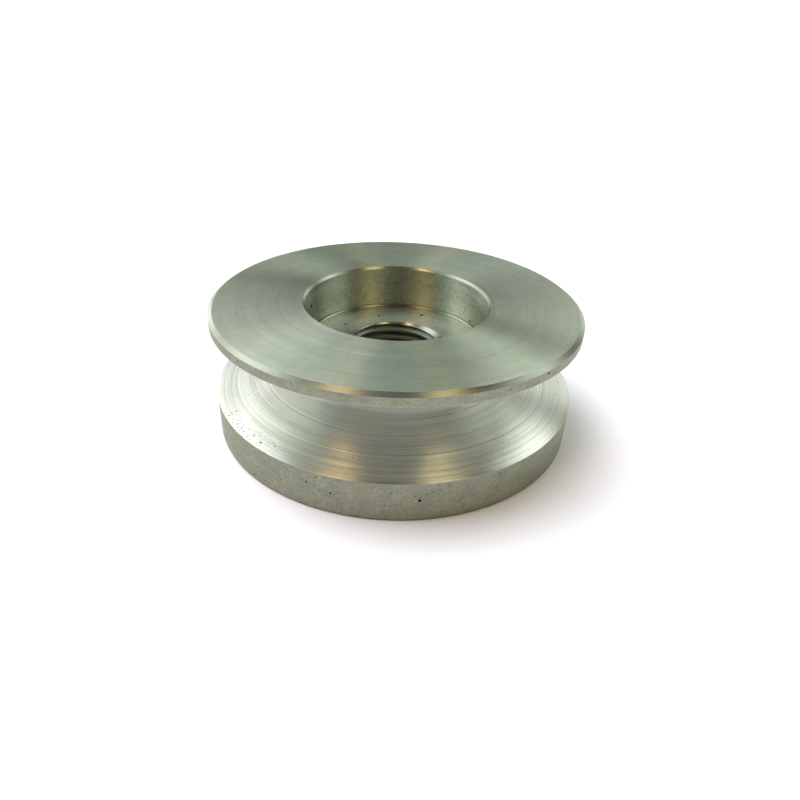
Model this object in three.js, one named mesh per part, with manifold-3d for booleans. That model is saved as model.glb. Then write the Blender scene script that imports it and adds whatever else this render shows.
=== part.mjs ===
// Single-groove V-belt pulley, turned from one piece of aluminium bar.
//
// Units are millimetres, +Z is up. The origin is the centre of the rear face,
// on the bore axis, and +Z runs along the axis to the counterbored front face.
//
// The pulley is one piece of metal: a wide plain rear flange, a 36 degree
// V groove, a thin front flange with a chamfered rim, a round counterbore in
// the front face, and a right-hand thread right through the middle.

import * as THREE from 'three';
import { mergeVertices } from 'three/addons/utils/BufferGeometryUtils.js';
import Module from 'manifold-3d';

// ---------------------------------------------------------------- dimensions

const OUTER_RADIUS = 31; // both flanges
const OVERALL_WIDTH = 21.5; // rear face to front face
const RIM_CHAMFER_RADIAL = 0.7; // front flange, front edge
const RIM_CHAMFER_AXIAL = 0.5;
const REAR_EDGE_BREAK = 0.3; // rear face, outer edge

const GROOVE_REAR_Z = 6.8; // the rear flange's rim ends here
const GROOVE_OPENING = 12.7; // along the axis, at the outside diameter
const GROOVE_FRONT_Z = GROOVE_REAR_Z + GROOVE_OPENING;
const GROOVE_ANGLE_DEG = 36; // between the two groove walls
const GROOVE_ROOT_RADIUS = 19.2; // bottom of the groove
const GROOVE_ROOT_FILLET = 0.9;

const COUNTERBORE_RADIUS = 15.4;
const COUNTERBORE_DEPTH = 7.85;
const COUNTERBORE_FLOOR_Z = OVERALL_WIDTH - COUNTERBORE_DEPTH;
const COUNTERBORE_MOUTH_CHAMFER = 0.4;
const COUNTERBORE_CORNER_RADIUS = 0.45;

const THREAD_MAJOR_RADIUS = 8; // M16 x 1.5
const THREAD_PITCH = 1.5;
const THREAD_DEPTH = 0.54127 * THREAD_PITCH; // standard metric thread form
const THREAD_MINOR_RADIUS = THREAD_MAJOR_RADIUS - THREAD_DEPTH;
const THREAD_START_Z = -2.23 * THREAD_PITCH; // sets where the thread starts round the bore

// 45 degree lead-in cones at both ends of the thread. They run in past the
// minor radius, so the thread cutter always breaks through their sides.
const LEAD_IN_MOUTH_RADIUS = 8.45;
const LEAD_IN_INNER_RADIUS = 6.9;
const LEAD_IN_DEPTH = LEAD_IN_MOUTH_RADIUS - LEAD_IN_INNER_RADIUS;

const BODY_SEGMENTS = 96; // multiple of 4, so the box is exactly the diameter
const THREAD_SEGMENTS = 48; // per turn
const FILLET_STEPS = 4;

// --------------------------------------------------------- solids and meshes

const manifold = await Module();
manifold.setup();

// A closed three.js geometry as a solid. Normals and uvs go first, so that
// vertices at the same place merge and the surface closes.
function toSolid(geometry) {
  geometry.deleteAttribute('normal');
  geometry.deleteAttribute('uv');
  const merged = mergeVertices(geometry, 1e-5);
  return new manifold.Manifold(
    new manifold.Mesh({
      numProp: 3,
      vertProperties: merged.attributes.position.array,
      triVerts: new Uint32Array(merged.index.array),
    }),
  );
}

// A solid back as a three.js geometry.
function toGeometry(solid) {
  const { vertProperties, triVerts } = solid.getMesh();
  const geometry = new THREE.BufferGeometry();
  geometry.setAttribute('position', new THREE.Float32BufferAttribute(vertProperties, 3));
  geometry.setIndex(new THREE.Uint32BufferAttribute(triVerts, 1));
  geometry.computeVertexNormals();
  return geometry;
}

// --------------------------------------------------------------- turned body

// Points of a circular arc in the (r, z) plane, ends included. Angles are in
// degrees, from +r towards +z.
function filletArc(centreR, centreZ, radius, startDeg, endDeg) {
  const points = [];
  for (let i = 0; i <= FILLET_STEPS; i++) {
    const angle = THREE.MathUtils.degToRad(startDeg + ((endDeg - startDeg) * i) / FILLET_STEPS);
    points.push([centreR + radius * Math.cos(angle), centreZ + radius * Math.sin(angle)]);
  }
  return points;
}

// The two fillets at the groove root, rear to front. Straight lines between
// them and the rim make the root and the walls.
function grooveRoot() {
  const halfDeg = GROOVE_ANGLE_DEG / 2;
  const half = THREE.MathUtils.degToRad(halfDeg);
  const wallRun = (OUTER_RADIUS - GROOVE_ROOT_RADIUS) * Math.tan(half);

  // Each fillet touches the root this far from the sharp corner.
  const setback = GROOVE_ROOT_FILLET * Math.tan((Math.PI / 2 - half) / 2);
  const inset = wallRun + setback;
  const centreR = GROOVE_ROOT_RADIUS + GROOVE_ROOT_FILLET;
  return [
    ...filletArc(centreR, GROOVE_REAR_Z + inset, GROOVE_ROOT_FILLET, 270 - halfDeg, 180),
    ...filletArc(centreR, GROOVE_FRONT_Z - inset, GROOVE_ROOT_FILLET, 180, 90 + halfDeg),
  ];
}

// Where the counterbore wall meets its floor.
function counterboreCorner() {
  const radius = COUNTERBORE_CORNER_RADIUS;
  return filletArc(COUNTERBORE_RADIUS - radius, COUNTERBORE_FLOOR_Z + radius, radius, 0, -90);
}

// The outline in (r, z), from the axis at the rear round to the axis at the
// front. The core is still solid here: the thread is cut through it below.
function turnedProfile() {
  return [
    [0, LEAD_IN_DEPTH],
    [LEAD_IN_INNER_RADIUS, LEAD_IN_DEPTH],
    [LEAD_IN_MOUTH_RADIUS, 0],
    [OUTER_RADIUS - REAR_EDGE_BREAK, 0],
    [OUTER_RADIUS, REAR_EDGE_BREAK],
    [OUTER_RADIUS, GROOVE_REAR_Z],
    ...grooveRoot(),
    [OUTER_RADIUS, GROOVE_FRONT_Z],
    [OUTER_RADIUS, OVERALL_WIDTH - RIM_CHAMFER_AXIAL],
    [OUTER_RADIUS - RIM_CHAMFER_RADIAL, OVERALL_WIDTH],
    [COUNTERBORE_RADIUS + COUNTERBORE_MOUTH_CHAMFER, OVERALL_WIDTH],
    [COUNTERBORE_RADIUS, OVERALL_WIDTH - COUNTERBORE_MOUTH_CHAMFER],
    ...counterboreCorner(),
    [LEAD_IN_MOUTH_RADIUS, COUNTERBORE_FLOOR_Z],
    [LEAD_IN_INNER_RADIUS, COUNTERBORE_FLOOR_Z - LEAD_IN_DEPTH],
    [0, COUNTERBORE_FLOOR_Z - LEAD_IN_DEPTH],
  ];
}

// LatheGeometry turns about its Y axis; this stands that axis up along +Z.
function turnedBody() {
  const points = turnedProfile().map(([r, z]) => new THREE.Vector2(r, z));
  return new THREE.LatheGeometry(points, BODY_SEGMENTS).rotateX(Math.PI / 2);
}

// ------------------------------------------------------------- thread cutter

// One pitch of the thread: radius, and height as a fraction of the pitch.
const THREAD_ROWS = [
  [THREAD_MINOR_RADIUS, 0],
  [THREAD_MINOR_RADIUS, 1 / 4],
  [THREAD_MAJOR_RADIUS, 9 / 16],
  [THREAD_MAJOR_RADIUS, 11 / 16],
];

// A full screw: the shape a tap leaves. Its vertices stand in columns round
// the axis. Each column climbs through the thread rows, once per turn, and
// the columns rise by one pitch in a full circle.
function threadCutter() {
  const perTurn = THREAD_ROWS.length;
  const turns = Math.ceil((COUNTERBORE_FLOOR_Z - THREAD_START_Z) / THREAD_PITCH) + 1;
  const lastRow = perTurn * turns;
  const lastColumn = THREAD_SEGMENTS - 1;
  const positions = [];
  const index = [];

  for (let column = 0; column <= lastColumn; column++) {
    const turnPart = column / THREAD_SEGMENTS;
    const angle = 2 * Math.PI * turnPart;
    for (let row = 0; row <= lastRow; row++) {
      const [radius, rise] = THREAD_ROWS[row % perTurn];
      const z = THREAD_START_Z + THREAD_PITCH * (Math.floor(row / perTurn) + turnPart + rise);
      positions.push(radius * Math.cos(angle), radius * Math.sin(angle), z);
    }
  }

  // Past the last column comes column 0 again, one turn of rows further up.
  const vertexAt = (row, column) =>
    column <= lastColumn ? column * (lastRow + 1) + row : row + perTurn;

  for (let column = 0; column <= lastColumn; column++) {
    const endRow = column === lastColumn ? lastRow - perTurn : lastRow;
    for (let row = 0; row < endRow; row++) {
      const corner = vertexAt(row, column);
      const opposite = vertexAt(row + 1, column + 1);
      index.push(corner, vertexAt(row, column + 1), opposite);
      index.push(corner, opposite, vertexAt(row + 1, column));
    }
  }

  // Each end is a fan of triangles from a point on the axis. Its rim runs once
  // round, then steps down the rows of one pitch at the seam.
  const addCap = (centreZ, rim) => {
    const centre = positions.length / 3;
    positions.push(0, 0, centreZ);
    rim.forEach((vertex, i) => index.push(centre, vertex, rim[(i + 1) % rim.length]));
  };
  const lowerRim = [];
  const upperRim = [];
  for (let column = 0; column <= lastColumn; column++) {
    lowerRim.push(vertexAt(0, column));
    upperRim.push(vertexAt(lastRow, column));
  }
  for (let step = 0; step < perTurn; step++) {
    lowerRim.push(vertexAt(perTurn - step, 0));
    upperRim.push(vertexAt(lastRow - 1 - step, lastColumn));
  }
  addCap(THREAD_START_Z, lowerRim.reverse()); // reversed to face down
  addCap(THREAD_START_Z + THREAD_PITCH * (turns + 1), upperRim);

  const geometry = new THREE.BufferGeometry();
  geometry.setAttribute('position', new THREE.Float32BufferAttribute(positions, 3));
  geometry.setIndex(index);
  return geometry;
}

// --------------------------------------------------------------------- build

function turnedAluminium() {
  return new THREE.MeshStandardMaterial({
    name: 'turned_aluminium',
    color: new THREE.Color(0.64, 0.66, 0.6), // pale grey
    metalness: 1,
    roughness: 0.38,
  });
}

function pulleyBody() {
  const solid = toSolid(turnedBody()).subtract(toSolid(threadCutter()));
  const mesh = new THREE.Mesh(toGeometry(solid), turnedAluminium());
  mesh.name = 'pulley_body';
  return mesh;
}

const pulley = new THREE.Group();
pulley.name = 'v_belt_pulley';
pulley.add(pulleyBody());

export default pulley;
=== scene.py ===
"""Looks for the turned aluminium V-belt pulley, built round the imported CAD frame.

Lengths in this file are millimetres until they reach Blender, which works in
metres, in the same frame as the CAD: origin at the centre of the rear face,
+Z along the bore axis to the counterbored front face.
"""

import math

import bmesh
import bpy
import numpy as np
from mathutils import Matrix, Vector


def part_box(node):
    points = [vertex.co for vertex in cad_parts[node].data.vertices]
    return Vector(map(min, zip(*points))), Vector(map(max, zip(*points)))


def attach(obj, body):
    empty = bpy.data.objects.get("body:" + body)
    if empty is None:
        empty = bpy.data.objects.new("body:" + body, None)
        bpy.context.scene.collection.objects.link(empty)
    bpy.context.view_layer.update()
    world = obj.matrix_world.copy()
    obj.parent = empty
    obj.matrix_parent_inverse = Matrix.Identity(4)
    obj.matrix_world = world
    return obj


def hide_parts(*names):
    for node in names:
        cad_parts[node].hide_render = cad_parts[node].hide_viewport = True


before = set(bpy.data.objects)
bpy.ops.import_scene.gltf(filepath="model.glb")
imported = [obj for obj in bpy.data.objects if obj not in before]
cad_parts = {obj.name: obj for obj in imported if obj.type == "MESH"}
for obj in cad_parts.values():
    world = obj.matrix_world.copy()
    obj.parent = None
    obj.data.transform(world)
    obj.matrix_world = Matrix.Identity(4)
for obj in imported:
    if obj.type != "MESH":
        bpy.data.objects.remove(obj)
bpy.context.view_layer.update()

MM = 0.001
BODY = "root"
NODE = "pulley_body"

# ------------------------------------------------------------------ dimensions
# Overall sizes come from the frame; the profile's inner sizes repeat the CAD's.
low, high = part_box(NODE)
R = (high.x - low.x) / 2 / MM  # outside radius
H = (high.z - low.z) / MM  # rear face to front face

REAR_LAND = 6.8
GROOVE_OPENING = 12.7
GROOVE_HALF = math.radians(18)
ROOT_R = 19.2
ROOT_FILLET = 0.9
RIM_CHAMFER = (0.7, 0.5)
REAR_BREAK = 0.3
CB_R = 15.4
CB_FLOOR = 13.65
CB_CHAMFER = 0.4
CB_CORNER = 0.45
PITCH = 1.5
MAJOR_R = 8.0
MINOR_R = MAJOR_R - 0.54127 * PITCH
BORE_CHAMFER_R = 8.45
THREAD_START = -2.23 * PITCH
LEAD_IN_R = 8.13
LEAD_IN_AT = (0.45, -0.26)

COLUMNS = 240  # round the pulley
SCREW_COLUMNS = 144

# Surface zones, which are also the material slots.
FACE, GROOVE, BORE, FLOOR, RIM, EDGE, THREAD, PORE = range(8)


# -------------------------------------------------------------- turned profile
def straight(a, b, step, zone):
    """Points from a to b, not including b, as (r, z, zone)."""
    a, b = np.array(a, float), np.array(b, float)
    n = max(1, int(round(float(np.linalg.norm(b - a)) / step)))
    return [(*(a + (b - a) * i / n), zone) for i in range(n)]


def arc(cr, cz, radius, start, end, steps, zone):
    """Arc points from start to end degrees, not including the end."""
    out = []
    for i in range(steps):
        a = math.radians(start + (end - start) * i / steps)
        out.append((cr + radius * math.cos(a), cz + radius * math.sin(a), zone))
    return out


def turned_profile():
    slope = math.tan(GROOVE_HALF)
    depth = R - ROOT_R
    z0, z1 = REAR_LAND, REAR_LAND + GROOVE_OPENING
    root0, root1 = z0 + depth * slope, z1 - depth * slope
    f = ROOT_FILLET
    setback = f * math.tan((math.pi / 2 - GROOVE_HALF) / 2)
    half = math.degrees(GROOVE_HALF)
    e = 0.07  # radius left on the "sharp" edges
    c = CB_CORNER
    core = 6.9
    cone = BORE_CHAMFER_R - core

    # where the wall meets the fillet
    wall_end0 = (
        ROOT_R + f + f * math.cos(math.radians(270 - half)),
        root0 + setback + f * math.sin(math.radians(270 - half)),
    )
    wall_end1 = (
        ROOT_R + f + f * math.cos(math.radians(90 + half)),
        root1 - setback + f * math.sin(math.radians(90 + half)),
    )
    # edge rounding at the groove's two rims
    t = e * math.tan((math.pi / 2 - GROOVE_HALF) / 2)
    wall_start0 = (R - e + e * math.cos(math.radians(90 - half)), z0 - t + e * math.sin(math.radians(90 - half)))
    wall_start1 = (R - e + e * math.cos(math.radians(-90 + half)), z1 + t + e * math.sin(math.radians(-90 + half)))
    rows = []
    rows += [(0.0, cone, THREAD), (core, cone, EDGE)]
    rows += straight((BORE_CHAMFER_R, 0), (R - REAR_BREAK, 0), 3.0, FACE)
    rows += arc(R - REAR_BREAK, REAR_BREAK, REAR_BREAK, -90, 0, 4, EDGE)
    rows += straight((R, REAR_BREAK), (R, z0 - t), 0.55, RIM)
    rows += arc(R - e, z0 - t, e, 0, 90 - half, 2, GROOVE)
    rows += straight(wall_start0, wall_end0, 0.9, GROOVE)
    rows += arc(ROOT_R + f, root0 + setback, f, 270 - half, 180, 6, GROOVE)
    rows += straight((ROOT_R, root0 + setback), (ROOT_R, root1 - setback), 1.0, GROOVE)
    rows += arc(ROOT_R + f, root1 - setback, f, 180, 90 + half, 6, GROOVE)
    rows += straight(wall_end1, wall_start1, 0.9, GROOVE)
    rows += arc(R - e, z1 + t, e, -90 + half, 0, 2, GROOVE)
    rows += straight((R, z1 + t), (R, H - RIM_CHAMFER[1]), 0.45, RIM)
    rows += straight((R, H - RIM_CHAMFER[1]), (R - RIM_CHAMFER[0], H), 0.3, EDGE)
    rows += straight((R - RIM_CHAMFER[0], H), (CB_R + CB_CHAMFER, H), 1.0, FACE)
    rows += straight((CB_R + CB_CHAMFER, H), (CB_R, H - CB_CHAMFER), 0.3, EDGE)
    rows += straight((CB_R, H - CB_CHAMFER), (CB_R, CB_FLOOR + c), 0.8, BORE)
    rows += arc(CB_R - c, CB_FLOOR + c, c, 0, -90, 6, EDGE)
    rows += straight((CB_R - c, CB_FLOOR), (core, CB_FLOOR), 0.7, FLOOR)
    rows += [(core, CB_FLOOR, THREAD), (0.0, CB_FLOOR, THREAD)]
    # the lead-in cone at the counterbore floor is cut after the thread
    return rows


slots = [bpy.data.materials.new("zone_%d" % i) for i in range(8)]


def mesh_object(name, verts, faces, zones):
    """A mesh object from millimetre vertices, with one zone number per face."""
    me = bpy.data.meshes.new(name)
    for slot in slots:  # the cuts below keep the zones only through real slots
        me.materials.append(slot)
    me.from_pydata((np.asarray(verts) * MM).tolist(), [], faces)
    me.update()
    me.polygons.foreach_set("material_index", np.asarray(zones, np.int32))
    ob = bpy.data.objects.new(name, me)
    bpy.context.scene.collection.objects.link(ob)
    return ob


def lathe(name, rows, columns):
    """Turns a profile that starts and ends on the axis into a closed mesh."""
    inner = rows[1:-1]
    n = len(inner)
    angle = np.arange(columns) * 2 * math.pi / columns
    verts = [(0.0, 0.0, rows[0][1])]
    for r, z, _ in inner:
        ring = np.stack([r * np.cos(angle), r * np.sin(angle), np.full(columns, z)], 1)
        verts.extend(ring.tolist())
    verts.append((0.0, 0.0, rows[-1][1]))
    top = len(verts) - 1
    faces, zones = [], []
    for j in range(columns):
        k = (j + 1) % columns
        faces.append((0, 1 + k, 1 + j))
        zones.append(rows[0][2])
    for i in range(n - 1):
        base, above = 1 + i * columns, 1 + (i + 1) * columns
        for j in range(columns):
            k = (j + 1) % columns
            faces.append((base + j, base + k, above + k, above + j))
            zones.append(inner[i][2])
    last = 1 + (n - 1) * columns
    for j in range(columns):
        k = (j + 1) % columns
        faces.append((last + j, last + k, top))
        zones.append(rows[-1][2])
    return mesh_object(name, verts, faces, zones)


# ----------------------------------------------------------------- thread tool
def screw(name):
    """The shape a tap leaves: a right-hand screw, a little rounded at its edges."""
    p = PITCH
    major, minor = MAJOR_R, MINOR_R
    prof = [
        (minor, 0.00 * p),
        (minor, 0.25 * p),
        (minor + 0.10 * (major - minor), 0.285 * p),
        (major - 0.08 * (major - minor), 0.535 * p),
        (major, 0.575 * p),
        (major, 0.675 * p),
        (major - 0.08 * (major - minor), 0.715 * p),
        (minor + 0.10 * (major - minor), 0.965 * p),
    ]
    k = len(prof)
    n = SCREW_COLUMNS
    turns = math.ceil((CB_FLOOR - THREAD_START) / p) + 1
    last = k * turns
    verts = []
    for j in range(n):
        a = 2 * math.pi * j / n
        for i in range(last + 1):
            r, u = prof[i % k]
            verts.append((r * math.cos(a), r * math.sin(a), THREAD_START + p * (i // k + j / n) + u))

    def at(i, j):
        return j * (last + 1) + i if j < n else i + k

    low_c = len(verts)
    verts.append((0, 0, THREAD_START))
    high_c = low_c + 1
    verts.append((0, 0, THREAD_START + p * (turns + 1)))
    faces = []
    for j in range(n):
        end = last - k if j == n - 1 else last
        for i in range(end):
            faces.append((at(i, j), at(i, j + 1), at(i + 1, j + 1), at(i + 1, j)))
    lower = [at(0, j) for j in range(n)] + [at(i, 0) for i in range(k, 0, -1)]
    for q in range(len(lower)):
        faces.append((low_c, lower[(q + 1) % len(lower)], lower[q]))
    upper = [at(last, j) for j in range(n)] + [at(i, n - 1) for i in range(last - 1, last - k - 1, -1)]
    for q in range(len(upper)):
        faces.append((high_c, upper[q], upper[(q + 1) % len(upper)]))
    return mesh_object(name, verts, faces, [THREAD] * len(faces))


def lead_in(name):
    """The countersink at the counterbore floor. It sits a little off the bore's
    axis, so the bevel is widest to one side."""
    drop, rise, n = 1.7, 0.3, 192
    a = np.arange(n) * 2 * math.pi / n
    verts = []
    for z in (-drop, rise):
        r = LEAD_IN_R + z
        ring = np.stack([LEAD_IN_AT[0] + r * np.cos(a), LEAD_IN_AT[1] + r * np.sin(a), np.full(n, CB_FLOOR + z)], 1)
        verts.extend(ring.tolist())
    faces = [tuple(reversed(range(n))), tuple(range(n, 2 * n))]
    for j in range(n):
        k = (j + 1) % n
        faces.append((j, k, n + k, n + j))
    return mesh_object(name, verts, faces, [EDGE] * len(faces))


# ------------------------------------------------------------------------ pores
def surface_point(zone, theta, t):
    """Point and outward normal at an angle in degrees. t is z on the rims and on
    the counterbore wall, and the radius on the flat faces and groove walls."""
    a = math.radians(theta)
    radial = np.array([math.cos(a), math.sin(a), 0.0])
    up = np.array([0.0, 0.0, 1.0])
    if zone == "rim":
        return radial * R + up * t, radial
    if zone == "wall":
        return radial * CB_R + up * t, -radial
    if zone == "floor":
        return radial * t + up * CB_FLOOR, up
    if zone == "face":
        return radial * t + up * H, up
    if zone == "groove":  # rear groove wall
        z = REAR_LAND + (R - t) * math.tan(GROOVE_HALF)
        return radial * t + up * z, radial * math.sin(GROOVE_HALF) + up * math.cos(GROOVE_HALF)
    if zone == "groove_front":
        z = REAR_LAND + GROOVE_OPENING - (R - t) * math.tan(GROOVE_HALF)
        return radial * t + up * z, radial * math.sin(GROOVE_HALF) - up * math.cos(GROOVE_HALF)
    if zone == "rear":
        return radial * t, -up
    raise ValueError(zone)


def pore_mesh(name, pores):
    """Small lumpy closed bodies to cut the casting pores with."""
    verts, faces = [], []
    for zone, theta, t, width, length, depth, seed in pores:
        local = np.random.default_rng(seed)
        bm = bmesh.new()
        bmesh.ops.create_icosphere(bm, subdivisions=2 if width > 0.12 else 1, radius=1.0)
        p, n = surface_point(zone, theta, t)
        a = math.radians(theta)
        across = np.array([-math.sin(a), math.cos(a), 0.0])
        side = np.cross(n, across)
        turn = local.uniform(0, math.pi)
        u = across * math.cos(turn) + side * math.sin(turn)
        v = np.cross(n, u)
        centre = p - n * (0.25 * depth)
        base = len(verts)
        for vert in bm.verts:
            co = np.array(vert.co) * (1 + local.uniform(-0.16, 0.16))
            verts.append(tuple(centre + u * co[0] * length / 2 + v * co[1] * width / 2 + n * co[2] * depth * 0.75))
        bm.verts.index_update()
        for face in bm.faces:
            faces.append(tuple(base + x.index for x in face.verts))
        bm.free()
    return mesh_object(name, verts, faces, [PORE] * len(faces))


def pore_list():
    # the larger pores: zone, angle, place, width, length, depth
    seen = [
        ("rim", -82, 3.78, 0.45, 0.60, 0.61),
        ("rim", -113, 4.71, 0.36, 0.49, 0.54),
        ("rim", -106, 3.78, 0.32, 0.39, 0.47),
        ("rim", -59, 6.05, 0.28, 0.36, 0.41),
        ("rim", -110, 6.14, 0.21, 0.29, 0.34),
        ("rim", -133, 0.95, 0.25, 0.36, 0.41),
        ("rim", -135, 20.45, 0.28, 0.36, 0.38),
        ("rim", -46, 20.6, 0.29, 0.58, 0.41),
        ("wall", 28, 14.6, 0.46, 0.55, 0.57),
        ("wall", 167, 18.1, 0.60, 0.62, 0.64),
        ("floor", 67, 12.25, 0.72, 0.95, 0.75),
        ("floor", 108, 10.8, 0.50, 0.58, 0.60),
        ("floor", 147, 11.15, 0.42, 0.50, 0.52),
        ("floor", 52, 11.0, 0.18, 0.25, 0.24),
        ("groove", -131, 30.1, 0.24, 0.36, 0.30),
        ("groove", -139, 30.35, 0.21, 0.32, 0.27),
        ("groove", -126, 29.4, 0.21, 0.32, 0.27),
    ]
    out = [(*p, 1000 + i) for i, p in enumerate(seen)]
    # and a scatter of fine ones, the same each run, thicker on the rims
    g = np.random.default_rng(7)
    for zone, count, lo, hi, big in (
        ("rim", 150, 0.5, 6.4, 0.22),
        ("rim", 34, 19.8, 20.8, 0.20),
        ("wall", 46, 14.4, 20.8, 0.20),
        ("floor", 16, 9.2, 14.4, 0.18),
        ("groove", 34, 24.0, 30.5, 0.18),
        ("groove_front", 22, 24.0, 30.5, 0.18),
        ("face", 18, 17.0, 29.5, 0.16),
        ("rear", 40, 10.0, 30.0, 0.24),
    ):
        for _ in range(count):
            w = 0.09 + (big - 0.09) * g.uniform(0, 1) ** 2.5
            out.append((zone, g.uniform(-180, 180), g.uniform(lo, hi), w, w * g.uniform(1.0, 1.6), w * g.uniform(0.6, 1.0), int(g.integers(1 << 30))))
    # keep them apart, so that each cutter is a separate body
    kept = []
    for p in out:
        at, _ = surface_point(*p[:3])
        size = max(p[3], p[4])
        if all(np.linalg.norm(at - q) > (size + s) * 0.7 + 0.02 for q, s in kept):
            kept.append((at, size))
        else:
            continue
        yield p


def cut(target, tool, solver):
    m = target.modifiers.new("cut", "BOOLEAN")
    m.operation = "DIFFERENCE"
    m.object = tool
    m.solver = solver
    dg = bpy.context.evaluated_depsgraph_get()
    me = bpy.data.meshes.new_from_object(target.evaluated_get(dg))
    target.modifiers.remove(m)
    old = target.data
    target.data = me
    bpy.data.meshes.remove(old)
    bpy.data.objects.remove(tool)


pulley = lathe("turned_pulley", turned_profile(), COLUMNS)
cut(pulley, screw("screw_tool"), "MANIFOLD")
cut(pulley, lead_in("lead_in_tool"), "MANIFOLD")
cut(pulley, pore_mesh("pore_tool", list(pore_list())), "MANIFOLD")
zone_of = np.empty(len(pulley.data.polygons), np.int32)
pulley.data.polygons.foreach_get("material_index", zone_of)
print("faces in each zone", np.bincount(zone_of, minlength=8).tolist())


# -------------------------------------------------------------------- materials
class Nodes:
    """Short calls for building a node tree."""

    def __init__(self, tree):
        self.t = tree
        self.t.nodes.clear()

    def new(self, kind, **settings):
        n = self.t.nodes.new(kind)
        for k, v in settings.items():
            setattr(n, k, v)
        return n

    def link(self, a, b):
        self.t.links.new(a, b)

    def put(self, socket, value):
        if isinstance(value, bpy.types.NodeSocket):
            self.link(value, socket)
        elif value is not None:
            socket.default_value = value

    def math(self, op, a, b=None, c=None, clamp=False):
        n = self.new("ShaderNodeMath", operation=op, use_clamp=clamp)
        self.put(n.inputs[0], a)
        if b is not None:
            self.put(n.inputs[1], b)
        if c is not None:
            self.put(n.inputs[2], c)
        return n.outputs[0]

    def map(self, v, a, b, c=0.0, d=1.0, smooth=True):
        n = self.new("ShaderNodeMapRange", interpolation_type="SMOOTHSTEP" if smooth else "LINEAR")
        self.put(n.inputs["Value"], v)
        for k, x in (("From Min", a), ("From Max", b), ("To Min", c), ("To Max", d)):
            self.put(n.inputs[k], x)
        return n.outputs["Result"]

    def combine(self, x, y, z):
        n = self.new("ShaderNodeCombineXYZ")
        for s, v in zip(n.inputs, (x, y, z)):
            self.put(s, v)
        return n.outputs[0]

    def separate(self, v):
        n = self.new("ShaderNodeSeparateXYZ")
        self.link(v, n.inputs[0])
        return n.outputs

    def noise(self, vector, scale, detail=2.0, rough=0.5, distortion=0.0):
        n = self.new("ShaderNodeTexNoise")
        self.put(n.inputs["Vector"], vector)
        n.inputs["Scale"].default_value = scale
        n.inputs["Detail"].default_value = detail
        n.inputs["Roughness"].default_value = rough
        n.inputs["Distortion"].default_value = distortion
        return n.outputs["Fac"]

    def mix(self, fac, a, b, blend="MIX"):
        n = self.new("ShaderNodeMix", data_type="RGBA", blend_type=blend)
        self.put(n.inputs[0], fac)
        self.put(n.inputs[6], a)
        self.put(n.inputs[7], b)
        return n.outputs[2]


def rgb(r, g, b):
    return (r, g, b, 1.0)


def turned_coordinates(n):
    """Radius, height and the angle's cosine and sine, in millimetres, from the
    object's own coordinates."""
    co = n.new("ShaderNodeTexCoord").outputs["Object"]
    x, y, z = n.separate(co)
    xx = n.math("MULTIPLY", x, 1000.0)
    yy = n.math("MULTIPLY", y, 1000.0)
    zz = n.math("MULTIPLY", z, 1000.0)
    r = n.math("SQRT", n.math("ADD", n.math("MULTIPLY", xx, xx), n.math("MULTIPLY", yy, yy)))
    inv = n.math("DIVIDE", 1.0, n.math("MAXIMUM", r, 0.001))
    return r, zz, n.math("MULTIPLY", xx, inv), n.math("MULTIPLY", yy, inv), n.combine(xx, yy, zz)


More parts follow.
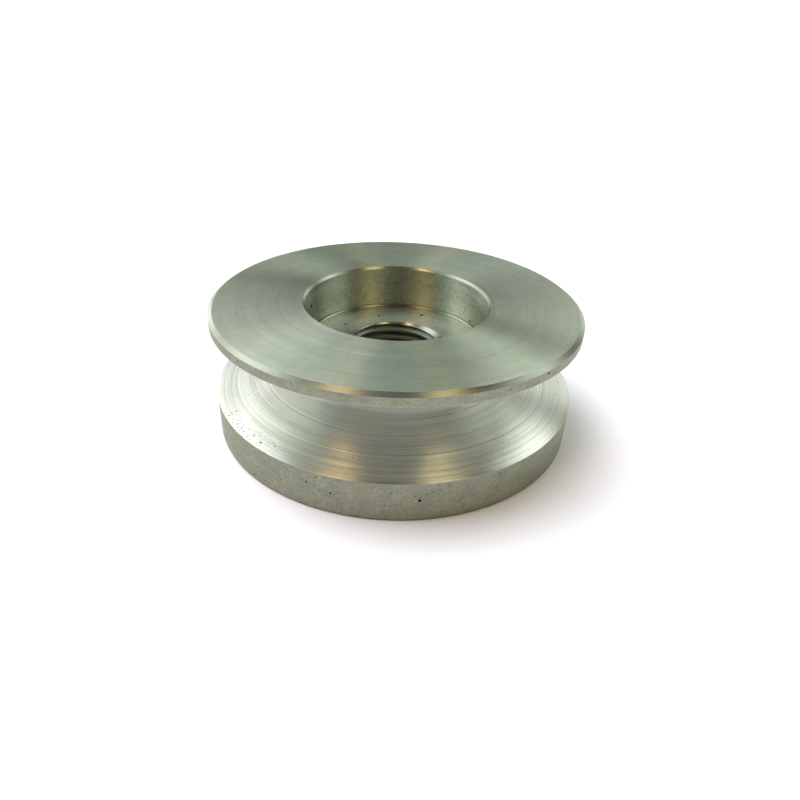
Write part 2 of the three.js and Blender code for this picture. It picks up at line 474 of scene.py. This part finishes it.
def metal(name, path, base, tint, rough, aniso, rings, rough_var=0.04,
          grain=(), pits=(), lines=(), worn=None, crest_highlight=None):
    """Turned aluminium.

    path says what runs across the tool marks: "r", "z" or "both".
    rings   (marks per mm, lean in radians, changes round the circle, shading)
            for each layer of tool marks
    grain   (grains per mm, depth in mm, shading) for each layer of skin texture
    pits    (cells per mm, share of cells, size in cells, depth in mm, darkness)
    lines   (place, width in mm, lean in radians, darkness) for each single score
    worn    (angle, half width, from, to, darkness): a patch of specks
    crest   (radius, colour): painted highlight, a lighter colour on the metal inside that radius
    """
    mat = bpy.data.materials.new(name)
    mat.use_nodes = True
    n = Nodes(mat.node_tree)
    out = n.new("ShaderNodeOutputMaterial")
    p = n.new("ShaderNodeBsdfPrincipled")
    n.link(p.outputs[0], out.inputs["Surface"])
    r, z, cos, sin, xyz = turned_coordinates(n)
    across = {"r": r, "z": z, "both": n.math("ADD", r, z)}[path]

    colour = n.mix(n.map(n.noise(xyz, 0.35, 3.0, 0.55), 0.35, 0.65), base, tint)
    # painted highlight: a lighter colour inside the given radius, for the light the thread tips catch
    if crest_highlight:
        colour = n.mix(n.map(r, crest_highlight[0] + 0.08, crest_highlight[0] - 0.02), colour, crest_highlight[1])
    height = lean = None

    def raise_by(value):
        nonlocal height
        height = value if height is None else n.math("ADD", height, value)

    def lean_by(value):
        nonlocal lean
        lean = value if lean is None else n.math("ADD", lean, value)

    def darken(fac):
        nonlocal colour
        colour = n.mix(1.0, colour, n.combine(fac, fac, fac), "MULTIPLY")

    layer = None
    for k, (freq, angle, arcs, dark) in enumerate(rings):
        v = n.combine(n.math("MULTIPLY_ADD", across, freq, 37.0 * k),
                      n.math("MULTIPLY", cos, arcs), n.math("MULTIPLY", sin, arcs))
        layer = n.noise(v, 1.0, 2.0, 0.6)
        lean_by(n.math("MULTIPLY_ADD", layer, 4.0 * angle, -2.0 * angle))
        if dark:
            darken(n.map(layer, 0.30, 0.70, 1.0 - dark, 1.0 + dark, smooth=False))
    p.inputs["Roughness"].default_value = rough
    if layer is not None and rough_var:
        n.link(n.map(layer, 0.3, 0.7, rough - rough_var, rough + rough_var, smooth=False), p.inputs["Roughness"])

    for place, width, angle, dark in lines:
        wander = n.math("MULTIPLY_ADD", n.noise(n.combine(n.math("MULTIPLY", cos, 3.0), n.math("MULTIPLY", sin, 3.0), place), 1.0, 1.0), 0.10, -place - 0.05)
        off = n.math("MULTIPLY", n.math("ADD", across, wander), 1.0 / width)
        bell = n.math("EXPONENT", n.math("MULTIPLY", n.math("MULTIPLY", off, off), -1.0))
        strength = n.map(n.noise(n.combine(n.math("MULTIPLY", cos, 4.0), n.math("MULTIPLY", sin, 4.0), place * 3.0), 1.0, 2.0), 0.35, 0.6, 0.25, 1.0)
        bell = n.math("MULTIPLY", bell, strength)
        lean_by(n.math("MULTIPLY", n.math("MULTIPLY", off, bell), angle * 2.3))
        darken(n.math("MULTIPLY_ADD", bell, -dark, 1.0))

    for scale, depth, dark in grain:
        g = n.noise(xyz, scale, 2.0, 0.6)
        raise_by(n.math("MULTIPLY", g, depth))
        darken(n.map(g, 0.34, 0.66, 1.0 - dark, 1.0 + dark * 0.6, smooth=False))

    for scale, share, size, depth, dark in pits:
        cells = n.new("ShaderNodeTexVoronoi", feature="F1", voronoi_dimensions="3D")
        n.link(xyz, cells.inputs["Vector"])
        cells.inputs["Scale"].default_value = scale
        chosen, girth, _ = n.separate(cells.outputs["Color"])
        edge = n.math("MULTIPLY", n.math("MULTIPLY_ADD", girth, 0.7, 0.3), size)
        dot = n.map(n.math("DIVIDE", cells.outputs["Distance"], edge), 1.0, 0.55)
        dot = n.math("MULTIPLY", dot, n.math("LESS_THAN", chosen, share))
        raise_by(n.math("MULTIPLY", dot, -depth))
        darken(n.math("MULTIPLY_ADD", dot, -dark, 1.0))

    if worn:
        place, half, lo, hi, dark = worn
        c0, s0 = math.cos(math.radians(place)), math.sin(math.radians(place))
        near = n.math("ADD", n.math("MULTIPLY", cos, c0), n.math("MULTIPLY", sin, s0))
        near = n.map(near, math.cos(math.radians(half)), math.cos(math.radians(half * 0.4)))
        near = n.math("MULTIPLY", near, n.map(across, lo, hi))
        speck = n.map(n.noise(xyz, 2.6, 3.0, 0.55), 0.575, 0.63)
        darken(n.math("MULTIPLY_ADD", n.math("MULTIPLY", speck, near), -dark, 1.0))

    n.link(colour, p.inputs["Base Color"])
    p.inputs["Metallic"].default_value = 1.0
    p.inputs["Anisotropic"].default_value = aniso
    p.inputs["Anisotropic Rotation"].default_value = 0.25
    t = n.new("ShaderNodeTangent", direction_type="RADIAL", axis="Z")
    n.link(t.outputs[0], p.inputs["Tangent"])

    normal = n.new("ShaderNodeNewGeometry").outputs["Normal"]
    if lean is not None:
        way = n.combine(cos, sin, 0.0) if path == "r" else n.combine(0.0, 0.0, 1.0)
        to_world = n.new("ShaderNodeVectorTransform", vector_type="VECTOR", convert_from="OBJECT", convert_to="WORLD")
        n.link(way, to_world.inputs[0])
        lean_vector = n.new("ShaderNodeVectorMath", operation="SCALE")
        n.link(to_world.outputs[0], lean_vector.inputs[0])
        n.link(lean, lean_vector.inputs["Scale"])
        both = n.new("ShaderNodeVectorMath", operation="ADD")
        n.link(normal, both.inputs[0])
        n.link(lean_vector.outputs[0], both.inputs[1])
        unit = n.new("ShaderNodeVectorMath", operation="NORMALIZE")
        n.link(both.outputs[0], unit.inputs[0])
        normal = unit.outputs[0]
        n.link(normal, p.inputs["Normal"])
    if height is not None:
        bump = n.new("ShaderNodeBump")
        bump.inputs["Strength"].default_value = 1.0
        bump.inputs["Distance"].default_value = 0.001
        n.link(height, bump.inputs["Height"])
        n.link(normal, bump.inputs["Normal"])
        n.link(bump.outputs[0], p.inputs["Normal"])
    return mat


GROOVE_LINES = [
    # radius, width, lean, darkness
    (29.2, 0.07, 0.07, 0.08),
    (27.9, 0.07, 0.10, 0.14),
    (26.35, 0.08, 0.10, 0.14),
    (25.75, 0.06, 0.09, 0.12),
    (24.8, 0.08, 0.13, 0.17),
    (23.95, 0.08, 0.12, 0.16),
    (22.9, 0.07, 0.12, 0.14),
    (21.3, 0.07, 0.12, 0.14),
]
materials = {
    FACE: metal("turned_face", "r", rgb(0.61, 0.655, 0.56), rgb(0.58, 0.62, 0.53), 0.30, 1.0,
                [(3.6, 0.012, 0.7, 0.045), (1.1, 0.007, 0.7, 0.020)], rough_var=0.015,
                grain=[(0.5, 0.0, 0.035), (1.6, 0.0, 0.02)],
                pits=[(1.1, 0.12, 0.16, 0.02, 0.5)]),
    GROOVE: metal("turned_groove", "r", rgb(0.73, 0.735, 0.69), rgb(0.71, 0.715, 0.67), 0.30, 1.0,
                  [(5.2, 0.070, 0.6, 0.15), (1.6, 0.055, 0.6, 0.07)], lines=GROOVE_LINES,
                  pits=[(1.3, 0.18, 0.17, 0.03, 0.65)], worn=(-139, 17, 27.9, 30.2, 0.75)),
    BORE: metal("bored_wall", "z", rgb(0.66, 0.685, 0.57), rgb(0.62, 0.64, 0.53), 0.38, 0.95,
                [(5.0, 0.02, 0.8, 0.03), (1.2, 0.02, 0.8, 0.03)],
                grain=[(1.6, 0.004, 0.13), (4.0, 0.002, 0.07)],
                pits=[(1.6, 0.40, 0.24, 0.03, 0.65), (0.8, 0.16, 0.20, 0.04, 0.75)]),
    FLOOR: metal("turned_floor", "r", rgb(0.555, 0.56, 0.475), rgb(0.52, 0.525, 0.445), 0.33, 0.9,
                 [(4.0, 0.03, 0.8, 0.06), (1.2, 0.03, 0.8, 0.04)],
                 grain=[(1.4, 0.004, 0.12), (4.0, 0.002, 0.08)],
                 pits=[(1.4, 0.34, 0.22, 0.03, 0.65)]),
    RIM: metal("rim_skin", "z", rgb(0.465, 0.465, 0.395), rgb(0.42, 0.42, 0.355), 0.52, 0.3,
               [(2.4, 0.01, 2.0, 0.02)],
               grain=[(3.6, 0.012, 0.19), (1.3, 0.005, 0.08)],
               pits=[(2.0, 0.40, 0.26, 0.02, 0.50)]),
    EDGE: metal("cut_edge", "both", rgb(0.37, 0.37, 0.325), rgb(0.355, 0.355, 0.305), 0.28, 0.9,
                [(4.0, 0.01, 2.0, 0.04)]),
    # painted shade: the thread's dark colour stands in for the shade inside the tapped hole
    THREAD: metal("cut_thread", "both", rgb(0.19, 0.21, 0.185), rgb(0.235, 0.26, 0.23), 0.52, 0.4,
                  # painted highlight: the lighter colour inside 7.22 mm stands in for the light on the thread tips
                  [(3.0, 0.02, 2.0, 0.10)], crest_highlight=(7.22, rgb(0.24, 0.26, 0.235)),
                  pits=[(1.4, 0.2, 0.18, 0.02, 0.5)]),
    PORE: metal("pore_inside", "both", rgb(0.05, 0.05, 0.04), rgb(0.07, 0.065, 0.05), 0.8, 0.0,
                [], rough_var=0.0),
}
for zone in range(8):
    pulley.data.materials[zone] = materials[zone]
for spare in slots:
    bpy.data.materials.remove(spare)



def turned_normals(ob):
    """Smooth shading whose normals lean along the profile but never sideways, so
    that the pores' cuts leave no facets round the pulley."""
    me = ob.data
    bm = bmesh.new()
    bm.from_mesh(me)
    for e in bm.edges:
        zones = {f.material_index for f in e.link_faces}
        e.smooth = not (len(zones) > 1 and PORE in zones)
    for f in bm.faces:
        f.smooth = True
    bm.to_mesh(me)
    bm.free()
    cut_edges = np.empty(len(me.edges), bool)
    me.edges.foreach_get("use_edge_sharp", cut_edges)
    me.set_sharp_from_angle(angle=math.radians(24))
    sharp = np.empty(len(me.edges), bool)
    me.edges.foreach_get("use_edge_sharp", sharp)
    me.edges.foreach_set("use_edge_sharp", sharp | cut_edges)
    count = len(me.loops)
    normal = np.empty(count * 3, np.float32)
    me.corner_normals.foreach_get("vector", normal)
    normal = normal.reshape(-1, 3)
    vert = np.empty(count, np.int32)
    me.loops.foreach_get("vertex_index", vert)
    co = np.empty(len(me.vertices) * 3, np.float32)
    me.vertices.foreach_get("co", co)
    co = co.reshape(-1, 3)[vert]
    zone = np.empty(len(me.polygons), np.int32)
    me.polygons.foreach_get("material_index", zone)
    size = np.empty(len(me.polygons), np.int32)
    me.polygons.foreach_get("loop_total", size)
    zone = np.repeat(zone, size)
    out = co[:, :2] / np.maximum(np.linalg.norm(co[:, :2], axis=1, keepdims=True), 1e-9)
    flat = np.sqrt(np.clip(1 - normal[:, 2] ** 2, 0, 1))
    sign = np.where((normal[:, :2] * out).sum(1) < 0, -1.0, 1.0)
    turned = (zone != PORE) & (zone != THREAD)
    normal[turned, :2] = (out * (sign * flat)[:, None])[turned]
    me.normals_split_custom_set(normal.tolist())


turned_normals(pulley)

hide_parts(NODE)
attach(pulley, BODY)


# ------------------------------------------------------------------------ stage
floor_mesh = bpy.data.meshes.new("floor")
s = 6.0
floor_mesh.from_pydata([(-s, -s, 0), (s, -s, 0), (s, s, 0), (-s, s, 0)], [], [(0, 1, 2, 3)])
floor = bpy.data.objects.new("floor", floor_mesh)
bpy.context.scene.collection.objects.link(floor)
floor.location.z = -0.00002
white = bpy.data.materials.new("floor_white")
white.use_nodes = True
f = Nodes(white.node_tree)
paper = f.new("ShaderNodeBsdfDiffuse")
paper.inputs["Color"].default_value = rgb(0.60, 0.60, 0.60)
shown = f.new("ShaderNodeBsdfDiffuse")  # the floor as the camera exposes it
shown.inputs["Color"].default_value = rgb(0.86, 0.84, 0.94)
swap = f.new("ShaderNodeMixShader")
f.link(f.new("ShaderNodeLightPath").outputs["Is Camera Ray"], swap.inputs[0])
f.link(paper.outputs[0], swap.inputs[1])
f.link(shown.outputs[0], swap.inputs[2])
f.link(swap.outputs[0], f.new("ShaderNodeOutputMaterial").inputs["Surface"])
floor_mesh.materials.append(white)


# ------------------------------------------------------------------------ world
world = bpy.data.worlds.new("studio")
bpy.context.scene.world = world
world.use_nodes = True
w = Nodes(world.node_tree)
wout = w.new("ShaderNodeOutputWorld")
background = w.new("ShaderNodeBackground")
direction = w.new("ShaderNodeTexCoord").outputs["Generated"]
dx, dy, dz = w.separate(direction)
azimuth = w.math("MULTIPLY", w.math("ARCTAN2", dy, dx), 180 / math.pi)
elevation = w.math("MULTIPLY", w.math("ARCSINE", w.math("MAXIMUM", w.math("MINIMUM", dz, 1.0), -1.0)), 180 / math.pi)


def panel(az, half_az, el_lo, el_hi, soft_az, soft_el, colour, strength):
    """A soft-edged panel of light: a patch in azimuth and elevation, degrees."""
    off = w.math("SUBTRACT", azimuth, az)
    wrapped = w.math("SUBTRACT", w.math("MODULO", w.math("ADD", off, 540.0), 360.0), 180.0)
    away = w.math("ABSOLUTE", wrapped)
    a = w.map(away, half_az + soft_az / 2, half_az - soft_az / 2)
    lo = w.map(elevation, el_lo - soft_el / 2, el_lo + soft_el / 2)
    hi = w.map(elevation, el_hi + soft_el / 2, el_hi - soft_el / 2)
    m = w.math("MULTIPLY", a, w.math("MULTIPLY", lo, hi))
    m = w.math("MULTIPLY", m, strength)
    return w.mix(1.0, w.combine(m, m, m), colour, "MULTIPLY")


panels = [
    # azimuth, half width, elevations, edge softness, colour, strength
    (134, 21, 35, 77, 20, 16, rgb(0.97, 1.00, 0.97), 1.66),  # softbox, behind left
    (137, 18, -4, 38, 20, 16, rgb(0.97, 1.00, 0.97), 1.40),  # its lower half
    (107, 9, 16, 36, 16, 16, rgb(0.95, 1.00, 0.95), 0.48),  # its dim inner edge
    (172, 18, 14, 50, 20, 24, rgb(0.90, 1.00, 0.90), 2.55),  # softbox, left
    (130, 21, -12, 11, 20, 22, rgb(0.90, 1.00, 0.94), 1.55),  # its foot
    (42, 23, 36, 60, 24, 18, rgb(0.93, 1.00, 0.90), 2.55),  # softbox, right
    (60, 14, -10, 29, 20, 24, rgb(0.92, 1.00, 0.90), 1.25),  # its foot
    (4, 24, 6, 38, 24, 24, rgb(0.84, 1.00, 0.88), 1.15),  # fill, right
    (-161, 16, -2, 49, 20, 24, rgb(0.61, 0.88, 1.00), 0.49),  # fill, left
    (102, 53, 55, 85, 20, 24, rgb(0.84, 1.00, 0.96), 1.70),  # overhead, behind
    (-163, 4, 55, 79, 20, 24, rgb(0.90, 1.00, 0.30), 1.36),  # strip, left
    (-138, 8, 47, 71, 8, 24, rgb(1.00, 0.68, 0.34), 5.90),  # warm strip, left
    (-41, 12, 49, 75, 8, 24, rgb(1.00, 0.79, 0.38), 3.90),  # warm strip, right
]
total = rgb(0.060, 0.060, 0.045)
for spec in panels:
    total = w.mix(1.0, total, panel(*spec), "ADD")
w.link(total, background.inputs["Color"])
plain = w.new("ShaderNodeBackground")
plain.inputs["Color"].default_value = (1, 1, 1, 1)
plain.inputs["Strength"].default_value = 1.05
pick = w.new("ShaderNodeMixShader")
path = w.new("ShaderNodeLightPath")
w.link(path.outputs["Is Camera Ray"], pick.inputs[0])
w.link(background.outputs[0], pick.inputs[1])
w.link(plain.outputs[0], pick.inputs[2])
w.link(pick.outputs[0], wout.inputs["Surface"])
# a broad soft key, high on the left, for the floor's shadow only
key_data = bpy.data.lights.new("key", "SUN")
key_data.energy = 2.2
key_data.angle = math.radians(36)
key_data.color = (0.97, 0.97, 1.0)
key = bpy.data.objects.new("key", key_data)
bpy.context.scene.collection.objects.link(key)
key_az, key_el = math.radians(158), math.radians(69)
key.location = Vector((math.cos(key_el) * math.cos(key_az), math.cos(key_el) * math.sin(key_az), math.sin(key_el))) * 0.5
key.rotation_euler = key.location.to_track_quat("Z", "Y").to_euler()
lit = bpy.data.collections.new("lit_by_key")
lit.objects.link(floor)
key.light_linking.receiver_collection = lit

world.cycles.sampling_method = "MANUAL"
world.cycles.sample_map_resolution = 1024

scene = bpy.context.scene
scene.view_settings.view_transform = "Standard"
scene.view_settings.look = "None"

# ----------------------------------------------------------------------- camera
camera_data = bpy.data.cameras.new("camera")
camera = bpy.data.objects.new("camera", camera_data)
scene.collection.objects.link(camera)
scene.camera = camera
camera_data.sensor_width = 36.0
camera_data.lens = 28.147
camera_data.shift_x = 0.00886
camera_data.shift_y = 0.00788
camera_data.clip_start = 0.001
camera_data.clip_end = 50.0
el, roll = math.radians(32.468), math.radians(2.150)
back = Vector((0, -math.cos(el), math.sin(el)))
right, up = Vector((1, 0, 0)), Vector((0, math.sin(el), math.cos(el)))
cam_x = right * math.cos(roll) + up * math.sin(roll)
cam_y = up * math.cos(roll) - right * math.sin(roll)
place = Matrix((cam_x, cam_y, back)).transposed().to_4x4()
place.translation = back * (3.7742 * R * MM)
camera.matrix_world = place

# ------------------------------------------------------------------------ close
bpy.context.view_layer.update()
